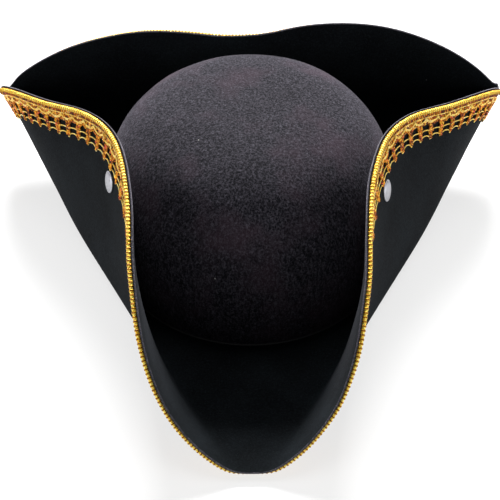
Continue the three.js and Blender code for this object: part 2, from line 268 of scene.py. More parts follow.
class Shader:
    # one material, with short ways to add its nodes
    def __init__(self, name):
        self.material = bpy.data.materials.new(name)
        self.material.use_nodes = True
        self.tree = self.material.node_tree
        self.surface = self.tree.nodes["Principled BSDF"]
        self.place = self.node("ShaderNodeTexCoord", output="Object")

    def node(self, kind, settings=None, values=None, output=0):
        made = self.tree.nodes.new(kind)
        for name, value in (settings or {}).items():
            if name == "stops":
                self.setStops(made.color_ramp, value)
            else:
                setattr(made, name, value)
        for key, value in (values or {}).items():
            if isinstance(value, Wire):
                self.tree.links.new(value.socket, made.inputs[key])
            else:
                made.inputs[key].default_value = value
        return Wire(self, made.outputs[output])

    def setStops(self, ramp, stops):
        while len(ramp.elements) < len(stops):
            ramp.elements.new(1)
        for element, (position, colour) in zip(ramp.elements, stops):
            element.position = position
            element.color = (*colour, 1)

    def noise(self, scale, detail=2.0, roughness=0.5, distortion=0.0, at=None):
        return self.node("ShaderNodeTexNoise", {},
                         {"Vector": at or self.place, "Scale": scale, "Detail": detail,
                          "Roughness": roughness, "Distortion": distortion})

    def cells(self, scale, output="Distance"):
        return self.node("ShaderNodeTexVoronoi", {}, {"Vector": self.place, "Scale": scale}, output)

    def cellPick(self, scale):
        # a chance value, the same all over each cell
        return self.node("ShaderNodeSeparateColor", {}, {0: self.cells(scale, "Color")})

    def mix(self, share, first, second):
        return self.node("ShaderNodeMix", {"data_type": "RGBA"}, {0: share, 6: first, 7: second}, 2)

    def ramp(self, share, stops):
        return self.node("ShaderNodeValToRGB", {"stops": stops}, {0: share})

    def finish(self, constants, normalFrom=None, strength=1.0, depth=0.5 * mm, **varying):
        for name, value in constants.items():
            self.surface.inputs[name].default_value = value
        for name, wire in varying.items():
            self.tree.links.new(wire.socket, self.surface.inputs[name.replace("_", " ")])
        if normalFrom is not None:
            bump = self.node("ShaderNodeBump", {}, {"Strength": strength, "Distance": depth,
                                                    "Height": normalFrom})
            self.tree.links.new(bump.socket, self.surface.inputs["Normal"])
        return self.material


def grey(value):
    return (value, value, value, 1)


feltGrain = {"hairs": 2600, "clouds": 24, "lintCells": 95, "lintSize": (0.06, 0.045),
             "lintChance": (0.972, 0.975), "lintColour": (0.5, 0.5, 0.48, 1), "tuftShare": 0.55,
             "paleFrom": 0.42, "paleTo": 0.63, "depth": 0.6 * mm}


def feltMaterial(name, look):
    # pale tufts and dashes on dark felt, in clouds, with a speck of lint here and there
    shader = Shader(name)
    drawn = shader.node("ShaderNodeMapping", {}, {"Vector": shader.place, "Scale": look["drawn"]})
    tufts = shader.noise(look["tufts"], 4, 0.7, 0.5)
    dashes = shader.noise(1.0, 3, 0.65, 0.8, at=drawn)
    hairs = shader.noise(feltGrain["hairs"], 3, 0.7, 1.2)
    clouds = shader.noise(feltGrain["clouds"], 3, 0.55)
    speckle = tufts * feltGrain["tuftShare"] + dashes * (1 - feltGrain["tuftShare"])
    light = (speckle.between(feltGrain["paleFrom"], feltGrain["paleTo"]) ** 1.5) * look["contrast"]
    light = light + clouds.between(0.35, 0.65) * look["clouds"]
    cloth = shader.mix(light, look["dark"], look["pale"])
    rosy = shader.mix(clouds.between(0.5, 0.68) * look["rosy"], cloth, look["rose"])
    spot = shader.cells(feltGrain["lintCells"]).between(*feltGrain["lintSize"])
    chosen = shader.cellPick(feltGrain["lintCells"]).between(*feltGrain["lintChance"])
    lint = spot * chosen * look["lint"]
    height = speckle + hairs * 0.25 + clouds * 0.2
    constants = {"Specular IOR Level": 0.06, "Sheen Weight": look["sheen"], "Sheen Roughness": look["nap"],
                 "Sheen Tint": look["tint"], "Diffuse Roughness": 1.0}
    return shader.finish(constants, height, look["relief"], feltGrain["depth"],
                         Base_Color=shader.mix(lint, rosy, feltGrain["lintColour"]),
                         Roughness=speckle.between(0.35, 0.7, 1.0, 0.88))


goldGrain = {"broad": 0.45, "glint": 0.5, "spark": 0.22, "gap": (0.2, 0.45), "pinkGlintChance": (0.93, 0.96),
             "pinkGlintColour": (0.8, 0.05, 0.1, 1), "relief": 0.9, "depth": 0.5 * mm, "dulling": 0.22,
             "metalSpread": 0.35}


def goldMaterial(name, look):
    # ribs are dark gaps across the strip, painted shade between the ribs, told from the UV map, whose units
    # are mm
    shader = Shader(name)
    broad = shader.noise(look["patches"], 3, 0.6)
    glint = shader.noise(look["glints"], 3, 0.65, 0.7)
    spark = shader.cellPick(look["sparks"])
    # broad patches, glints and sparks set the colour share: its dark end is painted shade and its bright end
    # painted highlight, over the gold's own tone
    share = broad * goldGrain["broad"] + glint * goldGrain["glint"] + spark * goldGrain["spark"]
    share = share.between(look["from"], look["to"])
    if look["ribs"]:
        uvMap = shader.node("ShaderNodeUVMap")
        along, inward = (shader.node("ShaderNodeSeparateXYZ", {}, {0: uvMap}, i) for i in (0, 1))
        rib = (along * (mm / lace["ribPeriod"])).maths("FRACT")
        # the gap darkens the colour: painted shade between the ribs
        gap = (rib - 0.5).maths("ABSOLUTE").between(*goldGrain["gap"])
        share = share * (1 - gap * look["ribs"] * (1 - (inward - look["ribsTo"]).between(-0.2, 0.2)))
    colour = shader.ramp(share, look["stops"])
    # pink sparks: painted glints on the gold
    pinkGlint = spark.between(*goldGrain["pinkGlintChance"]) * look["pinkGlint"]
    threads = shader.noise(look["threads"], 2, 0.5, 0.3) + share * 1.2
    gloss, metal = look["gloss"], look["metal"]
    return shader.finish({"Specular IOR Level": 0.35, "Sheen Weight": 0.0}, threads,
                         goldGrain["relief"], goldGrain["depth"],
                         Base_Color=shader.mix(pinkGlint, colour, goldGrain["pinkGlintColour"]),
                         Roughness=glint.between(0.3, 0.7, gloss, gloss + goldGrain["dulling"]),
                         Metallic=spark.between(0.1, 0.9, metal, metal + goldGrain["metalSpread"]))


ribbonLook = {"ribs": 260, "fine": 1500, "dark": (0.004, 0.004, 0.005, 1), "pale": (0.022, 0.022, 0.025, 1),
              "relief": 0.8, "depth": 0.3 * mm}


def ribbonMaterial(name):
    # grosgrain: fine ribs across the ribbon, paler on the ribs and darker between them: painted highlight and
    # painted shade
    shader = Shader(name)
    along = shader.node("ShaderNodeUVMap")
    ribs = shader.node("ShaderNodeTexWave", {"wave_type": "BANDS", "bands_direction": "X"},
                       {"Vector": along, "Scale": ribbonLook["ribs"], "Distortion": 0.4, "Detail": 1.0})
    ribShare = shader.node("ShaderNodeSeparateColor", {}, {0: ribs})
    fine = shader.noise(ribbonLook["fine"], 2, 0.6)
    # the colour follows the ribs' height: painted shade between the ribs
    colour = shader.mix(ribShare * 0.7 + fine * 0.3, ribbonLook["dark"], ribbonLook["pale"])
    return shader.finish({"Specular IOR Level": 0.35, "Sheen Weight": 0.15, "Sheen Roughness": 0.4},
                         ribShare + fine * 0.3, ribbonLook["relief"], ribbonLook["depth"], Base_Color=colour,
                         Roughness=ribShare.between(0, 1, 0.75, 0.5))


threadLook = {"twist": 1900, "relief": 0.6, "depth": 0.2 * mm}


def threadMaterial(name, dark, pale):
    shader = Shader(name)
    twist = shader.noise(threadLook["twist"], 2, 0.55, 0.8)
    return shader.finish({"Specular IOR Level": 0.4, "Sheen Weight": 0.2}, twist,
                         threadLook["relief"], threadLook["depth"],
                         Base_Color=shader.mix(twist, dark, pale),
                         Roughness=twist.between(0.3, 0.7, 0.55, 0.8))


steelLook = {"worn": 240, "scratches": (900, 4200, 900), "relief": 0.12, "depth": 0.2 * mm, "dulling": 0.18}


def steelMaterial(name, dark, pale, gloss):
    # worn in patches, with fine scratches that run one way
    shader = Shader(name)
    worn = shader.noise(steelLook["worn"], 4, 0.65, 0.5)
    scratches = shader.node("ShaderNodeMapping", {},
                            {"Vector": shader.place, "Scale": steelLook["scratches"]})
    fine = shader.noise(1.0, 2, 0.6, at=scratches)
    return shader.finish({"Specular IOR Level": 0.5}, fine * 0.5 + worn,
                         steelLook["relief"], steelLook["depth"],
                         Base_Color=shader.mix(worn * 0.7 + fine * 0.3, dark, pale),
                         Roughness=worn.between(0.3, 0.7, gloss, gloss + steelLook["dulling"]),
                         Metallic=fine.between(0.2, 0.8, 0.85, 0.95))


lace = {
    "period": 15 * mm,  # one leg of the net and one scallop, rounded so that whole repeats fit a side
    "cordRadius": 1.35 * mm, "cordAt": 1.35 * mm, "cordLift": 1.1 * mm, "cordSides": 8,
    "ribPeriod": 2.4 * mm, "ribDepth": 0.2, "ribRings": 5,
    "bandFrom": 2.4 * mm, "bandTo": 10 * mm, "bandStep": 0.35 * mm, "bandRows": 22, "bandBase": 0.12 * mm,
    "bandUnder": 0.02 * mm, "rimSlope": 9, "scallop": 0.7 * mm, "ladderTo": 5.2 * mm,
    "ladderFade": 0.5 * mm, "ladderRibs": 0.8 * mm, "weave": 0.1 * mm, "crinkle": 1.3 * mm,
    "threadRadius": 0.4 * mm, "repeatSteps": 24, "ladderLine": (5.3 * mm, 0.8 * mm),
    "swags": ((5.5 * mm, 1.5 * mm), (6.4 * mm, 1.3 * mm)), "swagDepth": 2.6 * mm, "swagShape": 0.7,
    "legRadius": 0.62 * mm, "legFrom": 9.3 * mm, "legTo": 19 * mm, "legWidth": 2.2 * mm, "legTaper": 0.3,
    "legPoints": 17, "legPhases": (0.4, 2.5, 4.6), "legLift": 0.9 * mm, "legCrossing": 0.35 * mm,
    "legJitter": 0.3 * mm,
    "lineAt": (14.5 * mm, 19.1 * mm), "lineLift": 1.0 * mm, "sags": (0.7 * mm, 1.6 * mm), "sagShape": 1.2,
}

crownFelt = feltMaterial("crownFelt", {
    "tufts": 820, "drawn": (700, 700, 260), "contrast": 1.0, "clouds": 0.08, "dark": (0.005, 0.005, 0.007, 1),
    "pale": (0.1, 0.093, 0.117, 1), "rosy": 0.35, "rose": (0.085, 0.05, 0.068, 1), "lint": 1.0, "relief": 0.8,
    "sheen": 0.05, "nap": 0.4, "tint": (0.93, 0.84, 1.0, 1)})
brimFelt = feltMaterial("brimFelt", {
    "tufts": 900, "drawn": (800, 800, 500), "contrast": 0.5, "clouds": 0.25,
    "dark": (0.0035, 0.0045, 0.0055, 1), "pale": (0.019, 0.025, 0.03, 1), "rosy": 0.0,
    "rose": (0.03, 0.03, 0.03, 1), "lint": 0.2, "relief": 0.4, "sheen": 0.015, "nap": 0.3,
    "tint": (0.9, 0.86, 1.0, 1)})
# each gold's stops run from painted shade through the gold's own tone to painted highlight
goldCord = goldMaterial("goldCord", {
    "patches": 60, "glints": 500, "sparks": 900, "threads": 2600, "gloss": 0.3, "metal": 0.2, "pinkGlint": 0.0,
    "from": 0.12, "to": 0.68, "ribs": 0.97, "ribsTo": 90,
    "stops": ((0.0, (0.08, 0.018, 0.0)), (0.25, (0.55, 0.21, 0.0)), (0.55, (0.95, 0.55, 0.01)),
              (1.0, (1.0, 0.84, 0.18)))})
goldBand = goldMaterial("goldBand", {
    "patches": 170, "glints": 560, "sparks": 800, "threads": 2400, "gloss": 0.3, "metal": 0.2, "pinkGlint": 0.5,
    "from": 0.46, "to": 0.71, "ribs": 0.95, "ribsTo": 4.9,
    "stops": ((0.0, (0.02, 0.003, 0.0)), (0.25, (0.26, 0.04, 0.0)), (0.5, (0.82, 0.25, 0.0)),
              (0.75, (1.0, 0.52, 0.02)), (1.0, (1.0, 0.92, 0.45)))})
goldKnot = goldMaterial("goldKnot", {
    "patches": 240, "glints": 600, "sparks": 900, "threads": 2400, "gloss": 0.3, "metal": 0.2, "pinkGlint": 0.8,
    "from": 0.46, "to": 0.71, "ribs": 0,
    "stops": ((0.0, (0.03, 0.004, 0.001)), (0.3, (0.3, 0.05, 0.001)), (0.6, (0.82, 0.23, 0.0)),
              (1.0, (1.0, 0.6, 0.04)))})
goldThread = goldMaterial("goldThread", {
    "patches": 120, "glints": 700, "sparks": 900, "threads": 2600, "gloss": 0.34, "metal": 0.15, "pinkGlint": 0.0,
    "from": 0.3, "to": 0.8, "ribs": 0,
    "stops": ((0.0, (0.5, 0.2, 0.005)), (0.4, (1.0, 0.62, 0.06)), (0.8, (1.0, 0.86, 0.3)),
              (1.0, (1.0, 0.95, 0.6)))})
# pale felt for the brim's rolled edge: a painted highlight along the felt's edge
edgeHighlightFelt = feltMaterial("edgeHighlightFelt", {
    "tufts": 1500, "drawn": (900, 900, 900), "contrast": 0.8, "clouds": 0.1, "dark": (0.03, 0.03, 0.036, 1),
    "pale": (0.3, 0.28, 0.33, 1), "rosy": 0.0, "rose": (0.1, 0.1, 0.1, 1), "lint": 0.0, "relief": 0.5,
    "sheen": 0.3, "nap": 0.4, "tint": (0.93, 0.88, 1.0, 1)})
ribbon = ribbonMaterial("ribbon")
blackThread = threadMaterial("blackThread", (0.006, 0.006, 0.007, 1), (0.05, 0.05, 0.056, 1))
# the seam thread's pale colour is a painted highlight along the crease at the crown's foot
seamHighlightThread = threadMaterial("seamHighlightThread", (0.012, 0.013, 0.014, 1), (0.2, 0.2, 0.2, 1))
capSteel = steelMaterial("capSteel", (0.2, 0.2, 0.22, 1), (0.42, 0.42, 0.45, 1), 0.36)
studSteel = steelMaterial("studSteel", (0.36, 0.36, 0.38, 1), (0.66, 0.66, 0.68, 1), 0.26)
golds = (goldCord, goldBand, goldKnot, goldThread)
print("materials made")


def makeCrown():
    columns, rows = crown["columns"], crown["rows"]
    angles = np.linspace(0, 2 * np.pi, columns, endpoint=False)[:, None]
    rise = np.linspace(0, 1, rows)[None, :-1]
    step = 1e-3
    outer = crownPoint(angles, rise)
    upward = crownPoint(angles, rise + step) - crownPoint(angles, np.maximum(rise - step, 0))
    sideways = crownPoint(angles + step, rise) - crownPoint(angles - step, rise)
    normal = unit(np.cross(sideways, upward))
    outer = outer + normal * ripple(outer)[..., None] * felt["rippleOnCrown"]
    inner = outer - normal * felt["thickness"]
    inner[:, 0, 2] = outer[:, 0, 2]
    # the points of the outside come first, then those of the inside, then the top one of each
    top = crownPoint(0.0, 1.0)
    under = top - np.array([0, 0, felt["thickness"]])
    points = np.concatenate([outer.reshape(-1, 3), inner.reshape(-1, 3), top[None], under[None]])
    count = columns * (rows - 1)
    faces = gridFaces(columns, rows - 1, wrapColumns=True)
    faces += gridFaces(columns, rows - 1, wrapColumns=True, first=count, flip=True)
    for i in range(columns):
        after = (i + 1) % columns
        last, nextLast = i * (rows - 1) + rows - 2, after * (rows - 1) + rows - 2
        faces.append((last, nextLast, 2 * count))
        faces.append((nextLast + count, last + count, 2 * count + 1))
        foot, nextFoot = i * (rows - 1), after * (rows - 1)
        faces.append((nextFoot, foot, foot + count, nextFoot + count))
    piece = makePiece("crownDome", points, faces, [crownFelt])
    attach(piece, "hat")
    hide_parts("crown")


def makeSector(side):
    # one sheet of the brim, from the crown's foot to its rounded edge; also its cut size and area
    sector = sectors[side]
    half, thinHalf = felt["thickness"] / 2, brim["edgeThickness"] / 2
    columns = round((sector["to"] - sector["from"]) / brim["step"]) + 1
    directions = np.linspace(sector["from"], sector["to"], columns)
    inner, outer = holeRadius(directions), edgeRadius(directions) - thinHalf
    share = np.linspace(0, 1, brim["rows"])
    radius = inner[:, None] + (outer - inner)[:, None] * share
    middle, normal, outward = feltAt(directions[:, None], radius)
    turns = np.linspace(0, np.pi, brim["edgePoints"] + 2)[1:-1]
    roll = np.stack([middle[:, -1] + thinHalf * (math.cos(turn) * normal[:, -1]
                                                 + math.sin(turn) * outward[:, -1])
                     for turn in turns], axis=1)
    deep = half + (thinHalf - half) * smoothStep(radius, outer[:, None] - brim["thinOver"], outer[:, None])
    above, below = middle + deep[..., None] * normal, middle - deep[..., None] * normal
    loop = np.concatenate([above, roll, below[:, ::-1]], axis=1)
    count = loop.shape[1]
    faces = gridFaces(columns, count, wrapRows=True, flip=True)
    rows = brim["rows"]
    # the rolled edge's faces take the pale felt, a painted highlight along the edge
    highlitEdgeRows = range(rows, rows + brim["edgePoints"] - 2)
    marks = [int(j % count in highlitEdgeRows) for j in range(len(faces))]
    for column, flip in ((0, False), (columns - 1, True)):
        base = column * count
        walls = [(base + j, base + j + 1, base + count - 2 - j, base + count - 1 - j)
                 for j in range(rows - 1)]
        walls.append(tuple(base + j for j in range(rows - 1, rows + brim["edgePoints"] + 1)))
        faces += [wall[::-1] if flip else wall for wall in walls]
    ends = np.concatenate([np.arange(count), (columns - 1) * count + np.arange(count)])
    marks += [0] * (len(faces) - len(marks))
    piece = makePiece(f"{side}Brim", loop, faces, [brimFelt, edgeHighlightFelt], marks, sharp=ends)
    cut = np.trapz((edgeRadius(directions) ** 2 - inner ** 2) / 2, np.radians(directions))
    reach = math.radians(sector["to"] - sector["from"]) / 2
    flat = (2 * brim["radius"] * math.sin(reach), brim["radius"] - float(inner.min()) * math.cos(reach))
    return piece, flat, float(cut)


def hingeOf(side):
    # a point on the flap's hinge line and the way up the flap, square to that line
    sector = sectors[side]
    start, end, crest = (feltAt(at, edgeRadius(at))[0] for at in
                         (sector["hingeFrom"], sector["hingeTo"], sector["crest"]))
    axis = unit(end - start)
    up = crest - start
    return Vector(start), Vector(unit(up - axis * float(up @ axis)))


def bendWithFlap(piece, side):
    start, up = hingeOf(side)
    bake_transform(piece)


# How far in from the felt's edge the lace is sewn, in mm, at directions round the brim.
sewnAt = ((-90, 2.5), (-76, 2.2), (-64, 0.5), (25, 0.5), (40, 2.7), (84, 2.7), (96, 1.7), (138, 1.7),
          (151, 0.5), (244, 0.5), (254, 1.1), (270, 2.5))
knots = {
    # pairs of knots beside a leg, in mm: how far in they lie and how far to each side
    "pairs": ((6.6, 5.5), (7.3, 3.9), (8.4, 6.6), (8.8, 2.6), (9.4, 4.6), (10.2, 1.5), (11.6, 2.0),
              (13.0, 1.6), (14.5, 2.2), (16.1, 1.5), (17.7, 1.6), (18.9, 0.8)),
    "spread": (0.6, 1.1), "inward": (-0.4, 0.4), "lift": (0.9, 1.4), "size": 0.95 * mm,
    "picotAt": 19.8 * mm, "picotLift": 0.9 * mm, "picotSize": 0.75 * mm,
    "thread": 0.42 * mm, "points": 7, "tilt": (0.2, 0.9), "raise": 0.6, "width": (0.75, 1.25), "flat": 0.7,
}

# lengths along the felt's edge, from the front peak round by the right
tableDirections = np.arange(-90, 270.001, 0.05)
tableRadii = edgeRadius(tableDirections)
tableSteps = np.hypot(np.diff(tableRadii), tableRadii[:-1] * np.radians(np.diff(tableDirections)))
tableLengths = np.concatenate([[0], np.cumsum(tableSteps)])


def laceAt(along, inward, lift):
    # a place on the lace: along the felt's edge, in from the lace's outer edge, and off the felt's outside
    along, inward, lift = np.broadcast_arrays(along, inward, lift)
    direction = np.interp(along, tableLengths, tableDirections)
    inset = np.interp(direction, *zip(*sewnAt)) * mm
    middle, normal, _ = feltAt(direction, edgeRadius(direction) - inset - inward)
    return middle - normal * (felt["thickness"] / 2 + lift)[..., None], -normal


class ThreadMesh:
    # gathers the threads of one piece; lace has a gold for each, and a UV map of (along, inward) in mm
    def __init__(self):
        self.points, self.faces, self.marks, self.uvs, self.count = [], [], [], [], 0

    def add(self, points, faces, gold, uvs):
        self.points.append(points.reshape(-1, 3))
        self.faces += faces
        self.marks += [golds.index(gold)] * len(faces)
        self.uvs.append(uvs.reshape(-1, 2))
        self.count += self.points[-1].shape[0]

    def tubes(self, paths, normals, radius, sideCount=5, gold=goldCord, ribs=None, closed=False,
              along=0.0, inward=0.0):
        # paths and normals hold many like threads, each a row of points
        number, length, _ = paths.shape
        if closed:
            tangent = unit(np.roll(paths, -1, axis=1) - np.roll(paths, 1, axis=1))
        else:
            tangent = unit(np.gradient(paths, axis=1))
        sideways = unit(np.cross(tangent, normals))
        lifted = unit(np.cross(sideways, tangent))
        turn = np.linspace(0, 2 * np.pi, sideCount, endpoint=False)
        thick = radius * (np.ones((number, length)) if ribs is None else ribs)[..., None, None]
        around = np.cos(turn)[None, None, :, None] * lifted[:, :, None, :]
        around = around + np.sin(turn)[None, None, :, None] * sideways[:, :, None, :]
        rings = paths[:, :, None, :] + thick * around
        faces = []
        for i in range(number):
            first = self.count + i * length * sideCount
            faces += gridFaces(length, sideCount, wrapColumns=closed, wrapRows=True, first=first)
            if not closed:
                faces.append(tuple(int(v) for v in first + np.arange(sideCount)[::-1]))
                faces.append(tuple(int(v) for v in first + (length - 1) * sideCount + np.arange(sideCount)))
        places = np.stack([np.broadcast_to(along, (number, length)),
                           np.broadcast_to(inward, (number, length))], axis=-1) / mm
        self.add(rings, faces, gold, np.repeat(places[:, :, None], sideCount, axis=2))


def laceBand(strip, start, end, period):
    # the dense woven band: ribs like a ladder beside the cord, then crinkled weave to a scalloped border
    columns = round((end - start) / lace["bandStep"]) + 1
    along = np.linspace(start, end, columns)[:, None]
    share = np.linspace(0, 1, lace["bandRows"])[None, :]
    border = lace["bandTo"] + lace["scallop"] * np.cos(2 * np.pi * (along - start) / period)
    inward = lace["bandFrom"] + (border - lace["bandFrom"]) * share
    ladder = 1 - smoothStep(inward, lace["ladderTo"] - lace["ladderFade"], lace["ladderTo"])
    ribs = 0.5 + 0.5 * np.cos(2 * np.pi * along / lace["ribPeriod"])
    crinkle = rng.random((columns, lace["bandRows"]))
    crinkle = (crinkle + np.roll(crinkle, 1, 0) + np.roll(crinkle, 1, 1)) / 3
    rim = np.minimum(np.minimum(share, 1 - share) * lace["rimSlope"], 1)
    weave = lace["weave"] + lace["crinkle"] * crinkle
    height = lace["bandBase"] + rim * (ladder * lace["ladderRibs"] * ribs + (1 - ladder) * weave)
    top, _ = laceAt(along, inward, height)
    under, _ = laceAt(along, inward[:, [0, -1]], lace["bandUnder"])
    first, rows = strip.count, lace["bandRows"]
    base = first + columns * rows
    quads = gridFaces(columns, rows, first=first)
    for i in range(columns - 1):
        upper, nextUpper = first + i * rows, first + (i + 1) * rows
        lower, nextLower = base + 2 * i, base + 2 * (i + 1)
        quads.append((lower, lower + 1, nextLower + 1, nextLower))
        quads.append((upper, lower, nextLower, nextUpper))
        quads.append((nextUpper + rows - 1, nextLower + 1, lower + 1, upper + rows - 1))
    for i, flip in ((0, False), (columns - 1, True)):
        wall = [base + 2 * i, *range(first + i * rows, first + (i + 1) * rows), base + 2 * i + 1]
        quads.append(tuple(wall[::-1] if flip else wall))
    uvs = np.stack(np.broadcast_arrays(along, inward), axis=-1) / mm
    strip.add(np.concatenate([top.reshape(-1, 3), under.reshape(-1, 3)]), quads, goldBand,
              np.concatenate([uvs.reshape(-1, 2), uvs[:, [0, -1]].reshape(-1, 2)]))


def laceKnots(strip, places, size, gold):
    # small loops of thread lying on the strip, each a ring that stands a little proud
    number = len(places)
    turn = np.linspace(0, 2 * np.pi, knots["points"], endpoint=False)[None, :]
    tilt = rng.uniform(*knots["tilt"], (number, 1))
    spin = rng.uniform(0, np.pi, (number, 1))
    width = size * rng.uniform(*knots["width"], (number, 1))
    x, y = width * np.cos(turn), width * knots["flat"] * np.sin(turn)
    along = places[:, :1] + x * np.cos(spin) - y * np.sin(spin)
    inward = places[:, 1:2] + x * np.sin(spin) + y * np.cos(spin)
    lift = places[:, 2:3] + size * knots["raise"] * tilt * np.sin(turn + spin)
    paths, normals = laceAt(along, inward, lift)
    strip.tubes(paths, normals, knots["thread"], 4, gold, closed=True, along=along, inward=inward)


def makeLace(side):
    sector = sectors[side]
    start, end = np.interp((sector["from"], sector["to"]), tableDirections, tableLengths)
    repeats = round((end - start) / lace["period"])
    period = (end - start) / repeats
    strip = ThreadMesh()

    def runThread(along, inward, lift, radius=lace["threadRadius"], gold=goldThread, sideCount=5, ribs=None):
        paths, normals = laceAt(along, inward, lift)
        strip.tubes(paths, normals, radius, sideCount, gold, ribs, along=along, inward=inward)

    ringCount = round((end - start) / lace["ribPeriod"] * lace["ribRings"]) + 1
    along = np.linspace(start, end, ringCount)[None]
    ribs = 1 + lace["ribDepth"] * np.cos(2 * np.pi * along / lace["ribPeriod"])
    runThread(along, lace["cordAt"], lace["cordLift"], lace["cordRadius"], goldCord, lace["cordSides"], ribs)
    laceBand(strip, start, end, period)

    # pale threads on the band: two in swags from repeat to repeat, and one along the ladder's foot
    fine = np.linspace(start, end, repeats * lace["repeatSteps"] + 1)[None]
    swing = np.abs(np.sin(np.pi * (fine - start) / period)) ** lace["swagShape"]
    for swagFrom, lift in lace["swags"]:
        runThread(fine, swagFrom + lace["swagDepth"] * swing, lift)
    runThread(fine, *lace["ladderLine"])

    # the open net: a leg of crossing strands at each repeat, tied by lines of pale thread
    legs = start + period * (np.arange(repeats) + 0.5)
    climb = np.linspace(0, 1, lace["legPoints"])[None, :]
    inward = lace["legFrom"] + (lace["legTo"] - lace["legFrom"]) * climb
    for phase in lace["legPhases"]:
        twist = 3 * np.pi * climb + phase
        sway = lace["legWidth"] * np.sin(twist) * (1 - lace["legTaper"] * climb)
        jitter = lace["legJitter"] * rng.uniform(-1, 1, (repeats, 1))
        lift = lace["legLift"] + lace["legCrossing"] * np.cos(twist)
        runThread(legs[:, None] + sway + jitter, inward, lift, lace["legRadius"], goldKnot, 4)
    for lineAt, sag in zip(lace["lineAt"], lace["sags"]):
        hang = lineAt - sag * np.abs(np.cos(np.pi * (fine - start) / period)) ** lace["sagShape"]
        runThread(fine, hang, lace["lineLift"])

    places = []
    for leg in legs:
        for inwards, spread in knots["pairs"]:
            for way in (-1, 1):
                places.append((leg + way * spread * rng.uniform(*knots["spread"]) * mm,
                               (inwards + rng.uniform(*knots["inward"])) * mm,
                               rng.uniform(*knots["lift"]) * mm))
    laceKnots(strip, np.array(places), knots["size"], goldKnot)
    picots = np.array([(leg, knots["picotAt"], knots["picotLift"]) for leg in legs])
    laceKnots(strip, picots, knots["picotSize"], goldThread)

    piece = makePiece(f"{side}Lace", np.concatenate(strip.points), strip.faces, golds, strip.marks,
                      uvs=np.concatenate(strip.uvs))
    return piece


band = {"height": 30 * mm, "thickness": 1.2 * mm, "columns": 220, "rows": 14, "gap": 0.6 * mm,
        "endPoints": 6, "uneven": 0.25 * mm, "unevenRate": 7 / mm, "stitchEvery": 6.5 * mm,
        "stitchLength": 4 * mm, "stitchRadius": 0.28 * mm, "stitchAt": 4 * mm, "stitchPoints": 5,
        "stitchBow": 1.1, "stitchDive": 1.6}
seam = {"radius": 0.55 * mm, "columns": 300, "sides": 8, "out": 0.35 * mm, "lift": 0.3 * mm}


def ovalRing(inset, height, columns):
    angle = np.linspace(0, 2 * np.pi, columns, endpoint=False)
    return np.stack([(crown["halfWidth"] - inset) * np.cos(angle) + hatCentre.x,
                     (crown["halfLength"] - inset) * np.sin(angle) + hatCentre.y,
                     np.full(columns, height)], axis=-1)


def makeSweatband():
    bottom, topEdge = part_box("sweatband")[0].z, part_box("sweatband")[1].z
    roll = band["thickness"] / 2
    middleInset = felt["thickness"] + band["gap"] + roll
    turns = np.linspace(0, np.pi, band["endPoints"])
    sectionPoints = [(middleInset - roll * math.cos(turn), bottom + roll - roll * math.sin(turn))
                     for turn in turns]
    rises = np.linspace(bottom + roll, topEdge - roll, band["rows"])[1:-1]
    sectionPoints += [(middleInset + roll + band["uneven"] * math.sin(band["unevenRate"] * z), z)
                      for z in rises]
    sectionPoints += [(middleInset + roll * math.cos(turn), topEdge - roll + roll * math.sin(turn))
                      for turn in turns]
    sectionPoints += [(middleInset - roll, z) for z in rises[::-1]]
    loop = np.stack([ovalRing(inset, z, band["columns"]) for inset, z in sectionPoints], axis=1)
    count = loop.shape[1]
    around = 2 * np.pi * ((crown["halfWidth"] + crown["halfLength"]) / 2 - middleInset)
    u = np.repeat(np.linspace(0, around, band["columns"], endpoint=False), count)
    uvs = np.stack([u, loop[..., 2].ravel()], axis=-1)
    piece = makePiece("sweatbandRibbon", loop, gridFaces(band["columns"], count, wrapColumns=True,
                                                         wrapRows=True), [ribbon], uvs=uvs)
    stitches = ThreadMesh()
    number = round(around / band["stitchEvery"])
    half = band["stitchLength"] / 2
    mid = ovalRing(middleInset + roll, bottom + band["stitchAt"], number)
    tangent = unit(np.roll(mid, -1, axis=0) - np.roll(mid, 1, axis=0))
    inwards = np.cross(np.array([0, 0, 1.0]), tangent)
    offsets = np.linspace(-half, half, band["stitchPoints"])
    bow = band["stitchRadius"] * (band["stitchBow"] - band["stitchDive"] * (offsets / half) ** 2)
    paths = mid[:, None] + tangent[:, None] * offsets[None, :, None] + inwards[:, None] * bow[None, :, None]
    normals = np.broadcast_to(inwards[:, None], paths.shape)
    stitches.tubes(paths, normals, band["stitchRadius"], 6)
    sewing = makePiece("sweatbandStitches", np.concatenate(stitches.points), stitches.faces, [blackThread])
    for made in (piece, sewing):
        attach(made, "hat")
        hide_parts("sweatband")


def makeSeam():
    # thread round the crown's foot, its pale colour a painted highlight along the crease between crown and
    # brim
    line = ThreadMesh()
    path = ovalRing(-seam["out"], hatCentre.z + felt["thickness"] / 2 + seam["lift"], seam["columns"])[None]
    normals = np.broadcast_to(np.array([0, 0, 1.0]), path.shape)
    line.tubes(path, normals, seam["radius"], seam["sides"], closed=True)
    piece = makePiece("crownSeam", np.concatenate(line.points), line.faces, [seamHighlightThread])
    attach(piece, "hat")


studFinish = {"blank": 0.1 * mm, "bevel": 0.12 * mm, "bevelOver": 35, "smoothUnder": 50}
